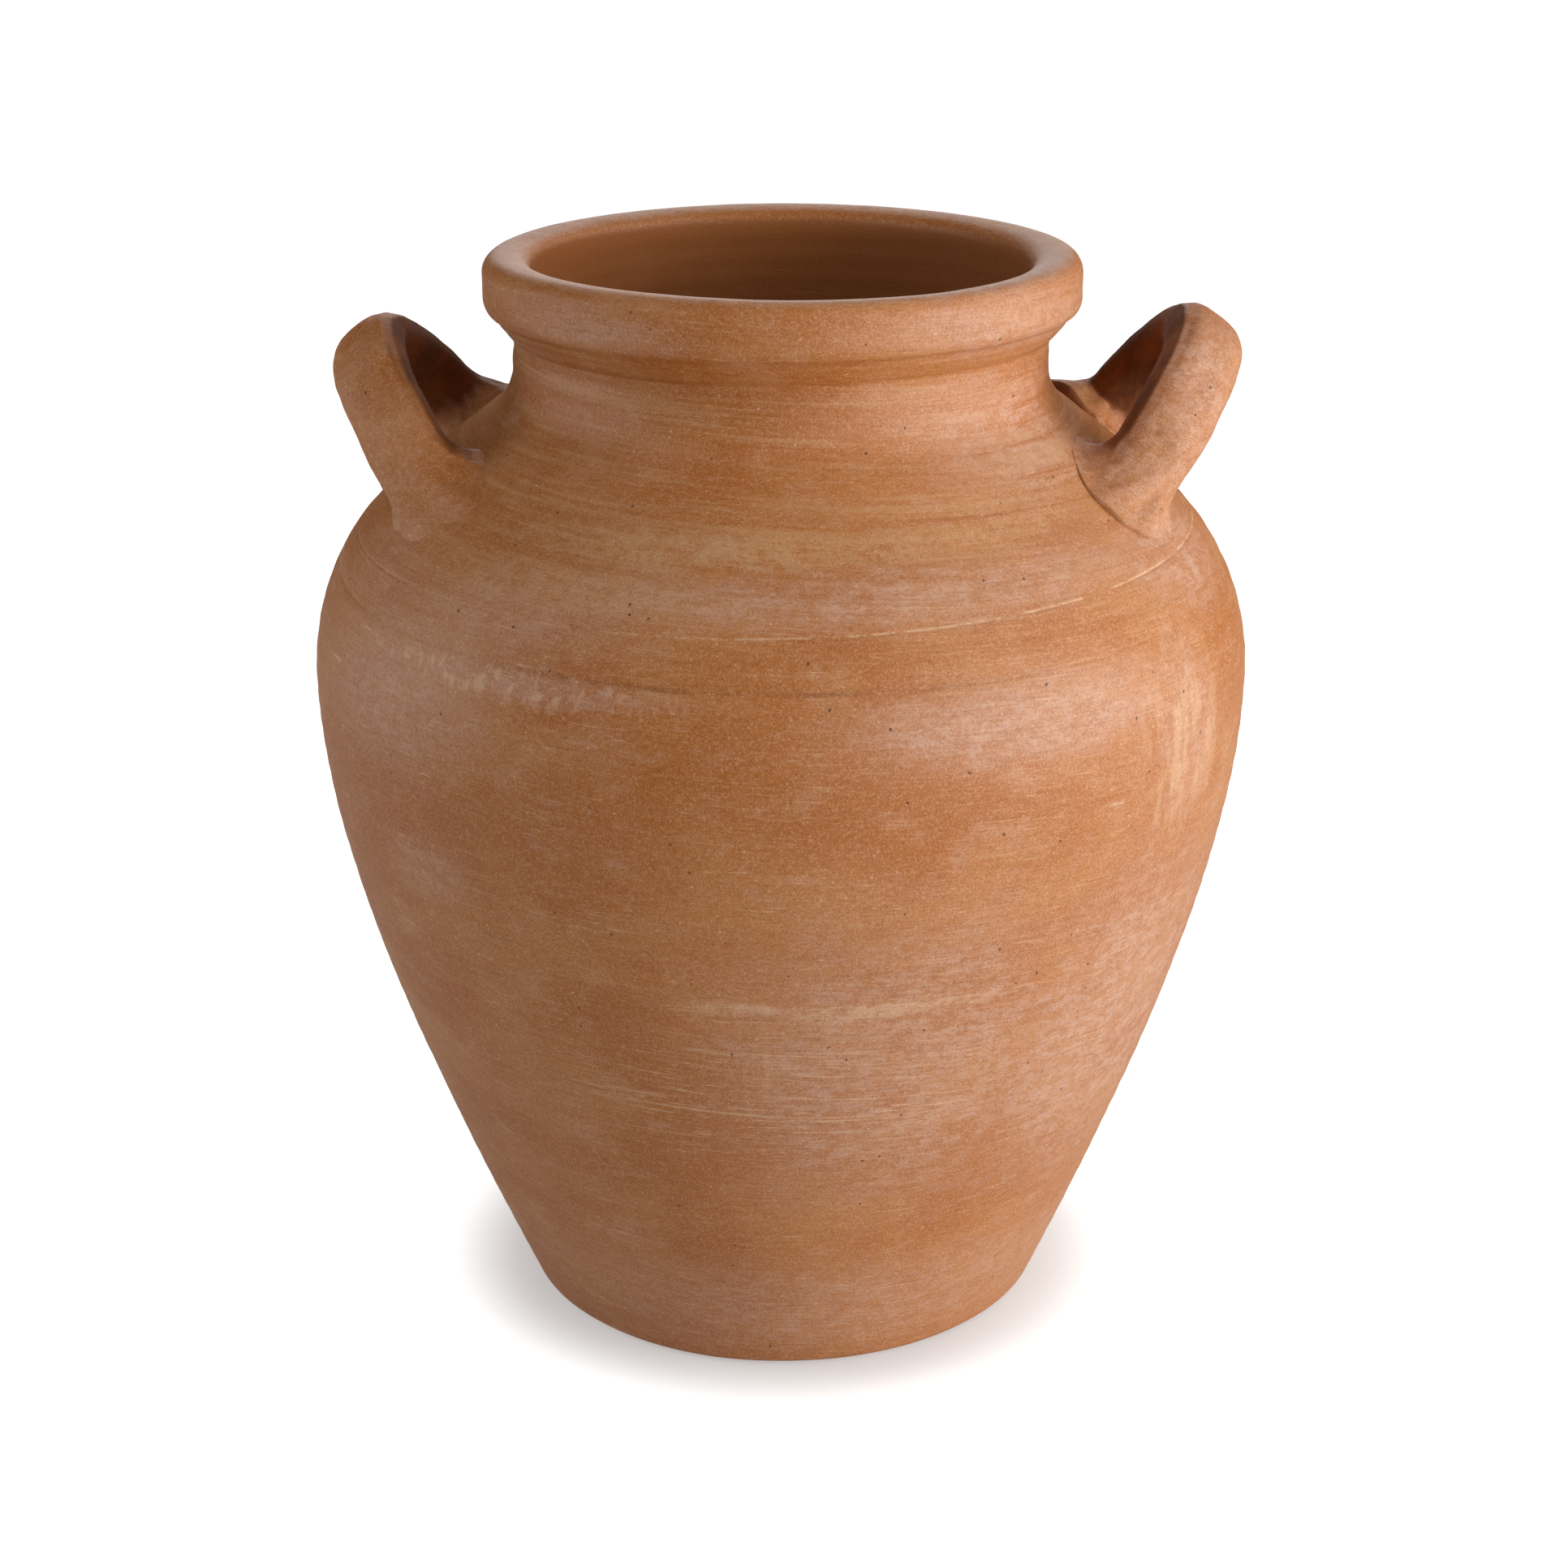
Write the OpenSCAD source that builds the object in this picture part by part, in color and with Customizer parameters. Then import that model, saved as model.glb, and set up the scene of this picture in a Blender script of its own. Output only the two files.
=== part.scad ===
// Amphora: a wide-mouthed, wheel-thrown terracotta jar with two loop handles on its shoulder.
// Millimetres. +Z is up, and the origin is the centre of the flat underside.
// The wall is one outline turned about Z and cut level into the sections the potter luted together.

/* [Foot and floor] */
// Radius at which the straight of the flank would reach the ground
foot_r = 99.2; // [85:0.1:120]
// Radius of the rounded heel
heel_r = 6; // [3:0.5:10]
// Thickness of the floor
floor_t = 12; // [9:0.5:18]
// Radius of the hollow between floor and wall, inside
floor_cove = 14; // [8:1:24]

/* [Body] */
// Greatest radius, at the belly
belly_r = 173.4; // [145:0.1:210]
// Height of the belly
belly_z = 249; // [205:1:300]
// Lean of the flank from upright, at the foot, in degrees
flank_lean = 23.5; // [18:0.5:28]
// Radius of the round of the shoulder
shoulder_r = 85.5; // [72:0.5:100]
// Lean of the upper shoulder from upright, in degrees
shoulder_lean = 52; // [45:1:60]
// Thickness of the wall
wall_t = 8; // [6:0.5:11]
// Height of the join between the lower wall and the shoulder, above the belly
seam_rise = 36; // [20:1:55]
// Height of the incised line above that join
line_rise = 16.5; // [8:0.5:24]
// Depth of the incised line
line_d = 0.7; // [0.3:0.1:1.5]

/* [Neck and rim] */
// Radius of the throat
throat_r = 89.5; // [75:0.5:107]
// Radius of the hollow where the shoulder sweeps up into the neck
neck_cove = 20.5; // [12:0.5:30]
// Height of the upright part of the neck
neck_h = 11; // [5:0.5:30]
// Height of the rim band
rim_h = 29; // [24:0.5:40]
// How far the rim band stands out from the neck
rim_out = 10.8; // [7:0.1:16]
// Slope of the rim's underside, in degrees from level
rim_under = 45; // [30:1:60]
// Radius of the rim band's lower and upper outer edges
rim_edge_r = 6.5; // [3:0.5:8]
// Radius of the roll from the crest of the lip down into the throat
lip_roll = 11; // [6:0.5:12]

/* [Handles] */
// Radius of a handle's arch, to the middle of the strap
arch_r = 47; // [38:1:60]
// Height of the straight legs below the arch
leg_h = 4; // [0:1:20]
// Distance of a handle's roots out from the neck
root_out = 34.5; // [24:0.5:44]
// Rise of a handle above level, in degrees
handle_rise = 53; // [40:1:70]
// Width of the strap
strap_w = 29; // [20:1:38]
// Thickness of the strap
strap_t = 18; // [12:1:26]
// Radius of a root pad where it spreads on the shoulder
pad_r = 25; // [18:1:34]
// Height of a root pad
pad_h = 12; // [6:1:18]
// Radius by which a pad's crest stands proud of the strap
pad_lip = 2; // [1:0.5:4]

/* [Hidden] */
$fn = 96;
flank_steps = 14;
arc_steps = 7;
strap_sides = 24;
// How far a handle's leg and pad run on under the skin of the shoulder before they are cut to it
root_depth = 30;

// Directions across and along a line that leans outwards from upright, in the (radius, height) plane
function across(lean) = [cos(lean), -sin(lean)];
function along(lean) = [sin(lean), cos(lean)];

// Points on an arc from angle a0 to a1
function arc(centre, r, a0, a1) =
    [for (i = [0:arc_steps]) let (a = a0 + (a1 - a0) * i / arc_steps)
        centre + r * [cos(a), sin(a)]];

// Centre of the arc of radius r that touches the level z0 and, from inside, the leaning line through q
function corner_centre(q, lean, z0, r) =
    [q.x + (-r + (z0 + r - q.y) * sin(lean)) / cos(lean), z0 + r];

// Flank: a cubic curve from the heel, along its lean, to the upright tangent at the belly
heel_centre = corner_centre([foot_r, 0], flank_lean, 0, heel_r);
flank_start = heel_centre + heel_r * across(flank_lean);
flank_end = [belly_r, belly_z];
flank_pull_low = flank_start + 0.57 * belly_z * along(flank_lean);
flank_pull_high = flank_end - [0, 0.2 * belly_z];
function flank_point(t) =
    pow(1 - t, 3) * flank_start + 3 * pow(1 - t, 2) * t * flank_pull_low
    + 3 * (1 - t) * t * t * flank_pull_high + t * t * t * flank_end;
function flank_slope(t) =
    pow(1 - t, 2) * (flank_pull_low - flank_start) + 2 * (1 - t) * t * (flank_pull_high - flank_pull_low)
    + t * t * (flank_end - flank_pull_high);
// Flank point moved inwards, square to the curve
function flank_inset(t, inset) =
    let (d = flank_slope(t) / norm(flank_slope(t)))
    flank_point(t) - inset * [d.y, -d.x];

// Shoulder: an arc up from the belly, a straight cone, then the cove into the upright neck
neck_r = throat_r + wall_t;
shoulder_centre = [belly_r - shoulder_r, belly_z];
cone_foot = shoulder_centre + shoulder_r * [cos(shoulder_lean), sin(shoulder_lean)];
cone_top_r = neck_r + neck_cove * (1 - cos(shoulder_lean));
cone_top = [cone_top_r, cone_foot.y + (cone_foot.x - cone_top_r) / tan(shoulder_lean)];
cove_centre = cone_top + neck_cove * [cos(shoulder_lean), sin(shoulder_lean)];
// Height of the shoulder's skin at radius r, and its radius at height z on the round part
function shoulder_z(r) =
    r > cone_foot.x
        ? belly_z + sqrt(pow(shoulder_r, 2) - pow(r - shoulder_centre.x, 2))
        : cone_foot.y + (cone_foot.x - r) / tan(shoulder_lean);
function shoulder_round_r(z) = shoulder_centre.x + sqrt(pow(shoulder_r, 2) - pow(z - belly_z, 2));

seam_z = belly_z + seam_rise;
line_z = seam_z + line_rise;
rim_z = cove_centre.y + neck_h;
jar_h = rim_z + rim_h;
rim_r = neck_r + rim_out;

// Rim band: sloping underside, two rounded outer edges, and the roll into the throat
rim_low_centre = [rim_r - rim_edge_r,
                  rim_z + (rim_out - rim_edge_r) * tan(rim_under) + rim_edge_r / cos(rim_under)];
rim_high_centre = [rim_r - rim_edge_r, jar_h - rim_edge_r];
roll_centre = [throat_r + lip_roll, jar_h - lip_roll];

outer_outline = concat(
    [[0, 0]],
    arc(heel_centre, heel_r, -90, -flank_lean),
    [for (i = [1:flank_steps]) flank_point(i / flank_steps)],
    arc(shoulder_centre, shoulder_r, 0, shoulder_lean),
    arc(cove_centre, neck_cove, 180 + shoulder_lean, 180),
    [[neck_r, rim_z]],
    arc(rim_low_centre, rim_edge_r, rim_under - 90, 0),
    arc(rim_high_centre, rim_edge_r, 0, 90),
    [[0, jar_h]]);

// Inner skin, wall_t inside the outer one, with its own cove at the floor
inner_start = flank_inset(0, wall_t);
floor_cove_centre = corner_centre(inner_start, flank_lean, floor_t, floor_cove);
inner_flank = [for (i = [0:flank_steps]) flank_inset(i / flank_steps, wall_t)];
inner_outline = concat(
    [[0, floor_t]],
    arc(floor_cove_centre, floor_cove, -90, -flank_lean),
    [for (p = inner_flank) if (p.y > floor_t + floor_cove) p],
    arc(shoulder_centre, shoulder_r - wall_t, 0, shoulder_lean),
    arc(cove_centre, neck_cove + wall_t, 180 + shoulder_lean, 180),
    arc(roll_centre, lip_roll, 180, 90),
    [[roll_centre.x, jar_h + 1], [0, jar_h + 1]]);

// Places of the handles' roots
root_r = neck_r + root_out;
root_x = sqrt(pow(root_r, 2) - pow(arch_r, 2));
root_z = shoulder_z(root_r);
strap_section = [for (i = [0:strap_sides - 1]) let (a = 360 * i / strap_sides)
    [strap_t / 2 * cos(a), strap_w / 2 * sin(a)]];

// Half section of the whole jar wall, floor included
module wall_section() {
    difference() {
        polygon(outer_outline);
        polygon(inner_outline);
        translate([shoulder_round_r(line_z), line_z]) circle(r = line_d, $fn = 16);
    }
}

// The part of the wall between two levels, turned about Z
module wall_band(z0, z1) {
    rotate_extrude()
        intersection() {
            wall_section();
            translate([0, z0]) square([belly_r + 1, z1 - z0]);
        }
}

// The jar's outer shape with no hollow, up to the neck: what handles and pads are cut to
module shoulder_core() {
    rotate_extrude()
        intersection() {
            polygon(outer_outline);
            translate([0, belly_z]) square([belly_r + 1, rim_z - belly_z]);
        }
}

// Puts a handle's own plane, arch along +Y of that plane, on the +X shoulder
module on_shoulder() {
    translate([root_x, 0, root_z])
        rotate([0, 90 - handle_rise, 0])
            rotate([90, 0, 90])
                children();
}

module strap_leg(side) {
    translate([side * arch_r, leg_h, 0])
        rotate([90, 0, 0])
            linear_extrude(leg_h + root_depth) polygon(strap_section);
}

module handle() {
    difference() {
        on_shoulder() {
            translate([0, leg_h, 0])
                rotate_extrude(angle = 180)
                    translate([arch_r, 0]) polygon(strap_section);
            strap_leg(-1);
            strap_leg(1);
        }
        shoulder_core();
    }
}

// Wad of clay pressed round one root: side is -1 in front and +1 behind
module root_pad(side) {
    spread = (pad_r - strap_w / 2 - pad_lip) / pad_h;
    difference() {
        on_shoulder()
            translate([side * arch_r, -root_depth, 0])
                rotate([-90, 0, 0])
                    cylinder(h = pad_h + root_depth, r1 = pad_r + spread * root_depth,
                             r2 = strap_w / 2 + pad_lip);
        on_shoulder() {
            strap_leg(side);
            translate([0, leg_h, 0])
                rotate_extrude(angle = 180)
                    translate([arch_r, 0]) polygon(strap_section);
        }
        shoulder_core();
    }
}

module base_floor() { color([0.62, 0.42, 0.31]) wall_band(0, floor_t); }
module lower_wall() { color([0.66, 0.44, 0.31]) wall_band(floor_t, seam_z); }
module shoulder_wall() { color([0.68, 0.46, 0.32]) wall_band(seam_z, cone_top.y); }
module neck_collar() { color([0.70, 0.47, 0.33]) wall_band(cone_top.y, rim_z); }
module rim_ring() { color([0.64, 0.45, 0.34]) wall_band(rim_z, jar_h); }
module left_handle() { color([0.66, 0.46, 0.34]) mirror([1, 0, 0]) handle(); }
module right_handle() { color([0.66, 0.46, 0.34]) handle(); }
module left_front_root_pad() { color([0.69, 0.45, 0.30]) mirror([1, 0, 0]) root_pad(-1); }
module left_back_root_pad() { color([0.69, 0.45, 0.30]) mirror([1, 0, 0]) root_pad(1); }
module right_front_root_pad() { color([0.69, 0.45, 0.30]) root_pad(-1); }
module right_back_root_pad() { color([0.69, 0.45, 0.30]) root_pad(1); }

base_floor();
lower_wall();
shoulder_wall();
neck_collar();
rim_ring();
left_handle();
right_handle();
left_front_root_pad();
left_back_root_pad();
right_front_root_pad();
right_back_root_pad();
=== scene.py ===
"""Amphora: a wide-mouthed, wheel-thrown terracotta jar with two loop handles on its shoulder.

Lengths are in millimetres until a mesh, lamp or camera is made, and then in metres.
An azimuth is in degrees round the jar from the front (-Y), and rises to the right (+X).
"""

import functools
import itertools
import math

import bpy
import numpy as np
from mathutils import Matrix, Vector


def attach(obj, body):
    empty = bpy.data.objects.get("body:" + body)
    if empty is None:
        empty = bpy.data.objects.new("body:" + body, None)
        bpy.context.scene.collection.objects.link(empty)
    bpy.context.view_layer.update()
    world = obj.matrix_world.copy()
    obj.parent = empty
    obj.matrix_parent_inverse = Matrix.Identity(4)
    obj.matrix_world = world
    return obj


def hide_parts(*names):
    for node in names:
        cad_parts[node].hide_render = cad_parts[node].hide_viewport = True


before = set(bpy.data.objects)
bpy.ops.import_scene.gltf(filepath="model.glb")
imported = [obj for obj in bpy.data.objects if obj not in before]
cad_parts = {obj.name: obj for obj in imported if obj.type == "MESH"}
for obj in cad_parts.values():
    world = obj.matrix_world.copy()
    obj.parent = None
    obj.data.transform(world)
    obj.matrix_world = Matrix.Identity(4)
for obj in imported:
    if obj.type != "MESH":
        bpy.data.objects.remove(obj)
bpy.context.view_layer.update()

MM = 0.001

# ---- The sizes that drive the outline, as in the CAD source ----
FOOT_R = 99.2
HEEL_R = 6.0
FLOOR_T = 12.0
FLOOR_COVE = 14.0
BELLY_R = 173.4
BELLY_Z = 249.0
FLANK_LEAN = math.radians(23.5)
SHOULDER_R = 85.5
SHOULDER_LEAN = math.radians(52)
WALL_T = 8.0
SEAM_Z = BELLY_Z + 36.0
LINE_Z = SEAM_Z + 16.5
THROAT_R = 89.5
NECK_COVE = 20.5
NECK_H = 11.0
RIM_H = 29.0
RIM_OUT = 10.8
RIM_UNDER = math.radians(45)
RIM_EDGE_R = 6.5
LIP_ROLL = 11.0
# The flank's curve is pulled this far along its lean, and upright from this height, as shares of BELLY_Z
FLANK_PULL, UPRIGHT_SHARE = 0.57, 0.8
# The lip's curve is pulled this share of its roll along the top and up the side, and dips this far on the way
LIP_FLAT = 0.74
LIP_FALL = 0.6
# Less than any real length
TINY = 1e-6


# ---- Outline of the jar's section, as (radius, height) points ----
def arc(centre, r, start, end, steps=24):
    """Points on an arc, from one angle in degrees to another."""
    a = np.radians(np.linspace(start, end, steps))
    return np.array(centre) + r * np.column_stack([np.cos(a), np.sin(a)])


def corner_centre(q, lean, z0, r):
    """Centre of the arc that touches the level z0 and, from inside, the leaning line through q."""
    return np.array([q[0] + (-r + (z0 + r - q[1]) * math.sin(lean)) / math.cos(lean), z0 + r])


def cubic(t, p0, p1, p2, p3):
    """The place at the share t along a cubic Bezier curve."""
    return (1 - t) ** 3 * p0 + 3 * (1 - t) ** 2 * t * p1 + 3 * (1 - t) * t**2 * p2 + t**3 * p3


def bezier(points, t):
    """Points at the shares t along a cubic Bezier curve."""
    return cubic(np.asarray(t)[:, None], *(np.asarray(p, float) for p in points))


def inset(points, distance):
    """A curve moved to its left-hand side, square to itself."""
    d = np.gradient(points, axis=0)
    d /= np.linalg.norm(d, axis=1)[:, None]
    return points - distance * np.column_stack([d[:, 1], -d[:, 0]])


lean_deg = math.degrees(FLANK_LEAN)
shoulder_deg = math.degrees(SHOULDER_LEAN)
heel_centre = corner_centre((FOOT_R, 0), FLANK_LEAN, 0, HEEL_R)
flank_start = heel_centre + HEEL_R * np.array([math.cos(FLANK_LEAN), -math.sin(FLANK_LEAN)])
flank = bezier(
    [
        flank_start,
        flank_start + FLANK_PULL * BELLY_Z * np.array([math.sin(FLANK_LEAN), math.cos(FLANK_LEAN)]),
        (BELLY_R, UPRIGHT_SHARE * BELLY_Z),
        (BELLY_R, BELLY_Z),
    ],
    np.linspace(0, 1, 160),
)
shoulder_centre = np.array([BELLY_R - SHOULDER_R, BELLY_Z])
shoulder = arc(shoulder_centre, SHOULDER_R, 0, shoulder_deg, 60)
neck_r = THROAT_R + WALL_T
cone_top_r = neck_r + NECK_COVE * (1 - math.cos(SHOULDER_LEAN))
cone_top_z = shoulder[-1, 1] + (shoulder[-1, 0] - cone_top_r) / math.tan(SHOULDER_LEAN)
cove_centre = np.array([cone_top_r, cone_top_z]) + NECK_COVE * np.array(
    [math.cos(SHOULDER_LEAN), math.sin(SHOULDER_LEAN)]
)
rim_z = cove_centre[1] + NECK_H
jar_h = rim_z + RIM_H
rim_r = neck_r + RIM_OUT
rim_low_z = rim_z + (RIM_OUT - RIM_EDGE_R) * math.tan(RIM_UNDER) + RIM_EDGE_R / math.cos(RIM_UNDER)

outer = np.vstack(
    [
        [[0, 0]],
        arc(heel_centre, HEEL_R, -90, -lean_deg),
        flank[1:],
        shoulder[1:],
        arc(cove_centre, NECK_COVE, 180 + shoulder_deg, 180),
        [[neck_r, rim_z]],
        arc((rim_r - RIM_EDGE_R, rim_low_z), RIM_EDGE_R, math.degrees(RIM_UNDER) - 90, 0),
        arc((rim_r - RIM_EDGE_R, jar_h - RIM_EDGE_R), RIM_EDGE_R, 0, 90),
    ]
)
# The lip turns down into the throat over a short round
lip_roll = bezier(
    [
        (THROAT_R + LIP_ROLL, jar_h),
        (THROAT_R + LIP_ROLL * (1 - LIP_FLAT), jar_h - LIP_FALL),
        (THROAT_R, jar_h - LIP_ROLL * (1 - LIP_FLAT)),
        (THROAT_R, jar_h - LIP_ROLL),
    ],
    np.linspace(0, 1, 40),
)
inner_flank = inset(flank, WALL_T)
floor_cove_centre = corner_centre(inner_flank[0], FLANK_LEAN, FLOOR_T, FLOOR_COVE)
inner = np.vstack(
    [
        lip_roll,
        arc(cove_centre, NECK_COVE + WALL_T, 180, 180 + shoulder_deg),
        arc(shoulder_centre, SHOULDER_R - WALL_T, shoulder_deg, 0, 60),
        inner_flank[inner_flank[:, 1] > FLOOR_T + FLOOR_COVE][::-1],
        arc(floor_cove_centre, FLOOR_COVE, -lean_deg, -90),
        [[0, FLOOR_T]],
    ]
)
outline = np.vstack([outer, inner])
step = np.linalg.norm(np.diff(outline, axis=0), axis=1)
outline = outline[np.append(True, step > TINY)]
run = np.append(0, np.cumsum(np.linalg.norm(np.diff(outline, axis=0), axis=1)))
crest = run[np.argmax(outline[:, 1] > jar_h - TINY)]


def at(s):
    """Radius and height of the outline at the run s along it."""
    return np.interp(s, run, outline[:, 0]), np.interp(s, run, outline[:, 1])


def out_run(z):
    """Run along the outline at height z on the outside."""
    side = (run <= crest) & (outline[:, 1] > 1)
    return float(np.interp(z, outline[side, 1], run[side]))


def in_run(z):
    """Run along the outline at height z on the inside."""
    side = run > crest
    return float(np.interp(z, outline[side, 1][::-1], run[side][::-1]))


# ---- Smooth noise ----
def lumps(points, size, seed):
    """Smooth noise from -1 to 1 at points in space, with lumps of one size, or of one for each axis."""
    cells = 32
    table = np.random.default_rng(seed).uniform(-1, 1, (cells, cells, cells))
    place = np.asarray(points) / size
    corner = np.floor(place).astype(int)
    share = place - corner
    share = share * share * (3 - 2 * share)
    total = np.zeros(len(place))
    for step_to in itertools.product((0, 1), repeat=3):
        weight = np.prod(np.where(step_to, share, 1 - share), axis=1)
        i, j, k = ((corner + step_to) % cells).T
        total += weight * table[i, j, k]
    return total


def bump_at(x, middle, half):
    """A smooth bump of height 1 at the middle, and nothing beyond the half width."""
    t = np.clip(np.abs(x - middle) / half, 0, 1)
    return (1 - t * t) ** 2


# ---- The thrown wall ----
AZIMUTHS = 384
# The join and the incised line lean a little, as the potter turned them by hand: height, rise to the right,
# rise to the back
SEAM_PLANE = (290.2, -0.004, 0.032)
LINE_PLANE = (303.9, 0.013, 0.020)
# Radius of the wall where each runs
SEAM_WALL_R, LINE_WALL_R = 166, 158
# Rows follow the two between these heights, and are level beyond them
STEADY_BELOW, STEADY_ABOVE = 262.0, 326.0
# Turned details: how far their middle is above the join, the line or the rim's foot, and their half width
SEAM_GROOVE, SEAM_SWELL = (-0.3, 1.1), (7, 8.5)
LINE_CUT, LINE_BURR = (0, 0.7), (1.2, 1.1)
RIM_GROOVE, RIM_ROLL, RIM_HOLLOW = (7.5, 2.4), (1.5, 3.4), (-4, 3.0)
# How far they stand out or are cut in
GROOVE_DEPTH, SWELL_HEIGHT, CUT_DEPTH, BURR_HEIGHT = 0.16, 0.15, 0.28, 0.05
RIM_GROOVE_DEPTH, RIM_ROLL_HEIGHT, RIM_HOLLOW_DEPTH = 0.6, 0.5, 0.3
# Throwing rings: their pitch, how far they stand out, and how much deeper they grow inside the body
RING_PITCH, RING_HEIGHT, RING_DEEPER = 8.5, 0.06, 0.3
# They begin to deepen at this height, and are deepest this much lower
DEEPER_BELOW, DEEPER_OVER = 350, 150
# Chips at the foot: azimuth, height, radius, depth, and the wall's radius there
CHIPS = [(-60.9, 37.5, 5.0, 0.9), (57.6, 51.0, 5.0, 0.6), (131.0, 24.0, 6.0, 0.8)]
CHIP_WALL_R = 115
# The jar's middle strays a little to the left as it rises: height, shift along X
DRIFT_Z = (0, 200, 300, 362, 376)
DRIFT_X = (0, -1.1, -1.4, -1.4, -0.8)
# The skin is still at the axis and under the foot, and comes alive over these lengths
STILL_RUN, ALIVE_OVER_RUN, ALIVE_OVER_R = FOOT_R - 24, 40, 20
# Half the length of outline over which its slope, and the skin's normal, are taken
SLOPE_HALF, NORMAL_HALF = 0.4, 0.25

azimuth = np.radians(np.arange(AZIMUTHS) * 360 / AZIMUTHS)
unit_x, unit_y = np.sin(azimuth), -np.cos(azimuth)


def plane_height(plane, x, y):
    """Height of a leaning plane over a place."""
    return plane[0] + plane[1] * x + plane[2] * y


def thrown_skin(points, around, inside):
    """The oval section, throwing rings and soft swells of a thrown wall."""
    z = points[:, 2]
    oval = 0.3 * np.cos(2 * around + 0.7) + 0.15 * np.cos(3 * around + 2.1)
    # The rings climb as a spiral, come and go, and are deep only inside the body
    rings = np.sin(2 * math.pi * z / RING_PITCH + around + 2.5 * lumps(points, (90, 90, 40), 11))
    height_inside = RING_HEIGHT + RING_DEEPER * np.clip((DEEPER_BELOW - z) / DEEPER_OVER, 0, 1)
    height_outside = RING_HEIGHT + 0.05 * lumps(points, (60, 60, 30), 12)
    rings *= np.where(inside, height_inside, height_outside)
    swell = 0.3 * lumps(points, 55, 13) + 0.12 * lumps(points, (26, 26, 14), 14)
    fine = 0.05 * lumps(points, (9, 9, 5), 15)
    return oval + rings + swell + fine


def detail(z, line, place):
    """A turned detail as a bump of height 1, at its place over a line."""
    return bump_at(z, line + place[0], place[1])


def turned_details(points):
    """The join and the incised line, and what the finger that pressed the rim's underside left."""
    x, y, z = points.T
    seam = plane_height(SEAM_PLANE, x, y)
    line = plane_height(LINE_PLANE, x, y)
    shift = -GROOVE_DEPTH * detail(z, seam, SEAM_GROOVE) * (0.75 + 0.25 * lumps(points, 20, 16))
    shift += SWELL_HEIGHT * detail(z, seam, SEAM_SWELL)
    pressed = np.clip(0.65 + 0.9 * lumps(points, (16, 16, 60), 17), 0, 1)
    shift -= CUT_DEPTH * detail(z, line, LINE_CUT) * pressed
    shift += BURR_HEIGHT * detail(z, line, LINE_BURR) * pressed
    strays = 0.25 * lumps(points, (50, 50, 30), 18)
    shift -= (RIM_GROOVE_DEPTH + strays) * detail(z, rim_z, RIM_GROOVE)
    shift += (RIM_ROLL_HEIGHT + strays) * detail(z, rim_z, RIM_ROLL)
    shift -= RIM_HOLLOW_DEPTH * detail(z, rim_z, RIM_HOLLOW)
    return shift


def chipped(around, z):
    """Depth of the chips at the foot."""
    total = np.zeros(len(z))
    for chip_azimuth, chip_z, chip_r, depth in CHIPS:
        sideways = CHIP_WALL_R * (around - math.radians(chip_azimuth))
        total += depth * bump_at(np.hypot(sideways, z - chip_z), 0, chip_r)
    return total


def skin_shift(points, s):
    """How far the clay's skin stands out from the turned outline, at points on it."""
    around = np.arctan2(points[:, 0], -points[:, 1])
    inside = s > crest
    outside_only = turned_details(points) - chipped(around, points[:, 2])
    return thrown_skin(points, around, inside) + np.where(inside, 0, outside_only)


def outward_slope(s, half):
    """Unit direction of the outline at the run s, as radius and height."""
    r1, z1 = at(s + half)
    r0, z0 = at(s - half)
    slope = np.stack([r1 - r0, z1 - z0], axis=-1)
    return slope / (np.linalg.norm(slope, axis=-1, keepdims=True) + 1e-12)


def surface_grid(s):
    """Points of the thrown wall for rows at the runs s: an array of (row, azimuth, xyz)."""
    nominal = np.repeat(np.asarray(s, float)[:, None], AZIMUTHS, axis=1)
    marks = [out_run(z) for z in (STEADY_BELOW, SEAM_Z, LINE_Z, STEADY_ABOVE)]
    seam_height = plane_height(SEAM_PLANE, SEAM_WALL_R * unit_x, SEAM_WALL_R * unit_y)
    line_height = plane_height(LINE_PLANE, LINE_WALL_R * unit_x, LINE_WALL_R * unit_y)
    for j in range(AZIMUTHS):
        moved = [marks[0], out_run(seam_height[j]), out_run(line_height[j]), marks[3]]
        near = (nominal[:, j] > marks[0]) & (nominal[:, j] < marks[3])
        nominal[near, j] = np.interp(nominal[near, j], marks, moved)
    r, z = at(nominal)
    slope = outward_slope(nominal, SLOPE_HALF)
    points = np.stack([r * unit_x, r * unit_y, z], axis=-1).reshape(-1, 3)
    row_run = np.broadcast_to(np.asarray(s)[:, None], r.shape).ravel()
    shift = skin_shift(points, row_run).reshape(r.shape)
    shift *= np.clip((nominal - STILL_RUN) / ALIVE_OVER_RUN, 0, 1) * np.clip(r / ALIVE_OVER_R, 0, 1)
    reach = r + shift * slope[..., 1]
    drift = np.interp(z, DRIFT_Z, DRIFT_X)
    return np.stack([reach * unit_x + drift, reach * unit_y, z - shift * slope[..., 0]], axis=-1)


def surface_normals(s):
    """Unit normals of the thrown wall for rows at the runs s."""
    here = surface_grid(s)
    across = np.roll(here, -1, axis=1) - np.roll(here, 1, axis=1)
    normal = np.cross(across, surface_grid(s + NORMAL_HALF) - surface_grid(s - NORMAL_HALF))
    return normal / (np.linalg.norm(normal, axis=-1, keepdims=True) + 1e-12)


def rows_between(*zones):
    """Runs of the rows through zones of (start, end, greatest step), with both ends in."""
    found = [
        np.linspace(start, end, max(1, math.ceil((end - start) / gap)), endpoint=False)
        for start, end, gap in zones
    ]
    return np.append(np.concatenate(found), zones[-1][1])


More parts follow.
